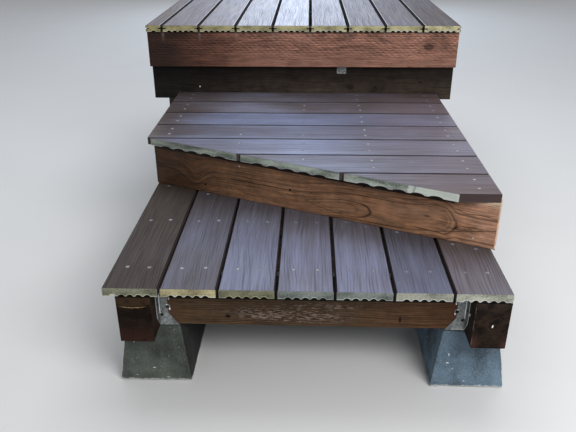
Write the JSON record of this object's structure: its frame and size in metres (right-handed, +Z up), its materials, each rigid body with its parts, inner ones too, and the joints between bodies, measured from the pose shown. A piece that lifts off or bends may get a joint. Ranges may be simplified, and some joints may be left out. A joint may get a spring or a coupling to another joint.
{
  "type": "wooden deck stairs",
  "caption": "Wide timber box steps on concrete piers, a square lower step and a slant-cut upper step, climbing to the front bay of a deck.",
  "frame": {"origin": "on the ground, under the middle of the whole footprint", "axes": "+Y from the front of the lower step towards the deck, +X to the right for someone going up, +Z up"},
  "size_m": [1.224, 2.418, 0.777],
  "materials": {
    "tread_boards": "satin brown-grey decking stain",
    "deck_boards": "satin pinkish brown decking stain",
    "framing": "satin red-brown stain",
    "dark_framing": "matt dark stain",
    "concrete": "cast concrete",
    "galvanised": "galvanised"
  },
  "bodies": {
    "root": {"pier_front_left": "concrete", "pier_front_right": "concrete", "pier_back_left": "concrete", "pier_back_right": "concrete", "beam_left": "dark_framing", "beam_right": "dark_framing", "front_joist": "framing", "inner_joists": "framing", "hangers_left": "galvanised", "hangers_right": "galvanised", "lower_tread_1": "tread_boards", "lower_tread_2": "tread_boards", "lower_tread_3": "tread_boards", "lower_tread_4": "tread_boards", "lower_tread_5": "tread_boards", "lower_tread_6": "tread_boards", "lower_tread_7": "tread_boards", "riser": "framing", "step_side_left": "framing", "step_side_right": "framing", "step_back": "framing", "step_joists": "framing", "upper_tread_1": "tread_boards", "upper_tread_2": "tread_boards", "upper_tread_3": "tread_boards", "upper_tread_4": "tread_boards", "upper_tread_5": "tread_boards", "upper_tread_6": "tread_boards", "upper_tread_7": "tread_boards", "deck_rim_front": "framing", "deck_rim_back": "framing", "deck_side_left": "framing", "deck_side_right": "framing", "deck_joist_front": "framing", "deck_joist_back": "framing", "deck_beam_front": "dark_framing", "deck_beam_back": "dark_framing", "deck_posts": "dark_framing", "deck_piers": "concrete", "deck_clip": "galvanised", "deck_board_1": "deck_boards", "deck_board_2": "deck_boards", "deck_board_3": "deck_boards", "deck_board_4": "deck_boards", "deck_board_5": "deck_boards", "deck_board_6": "deck_boards", "deck_board_7": "deck_boards", "deck_board_8": "deck_boards", "deck_board_9": "deck_boards"}
  },
  "joints": []
}
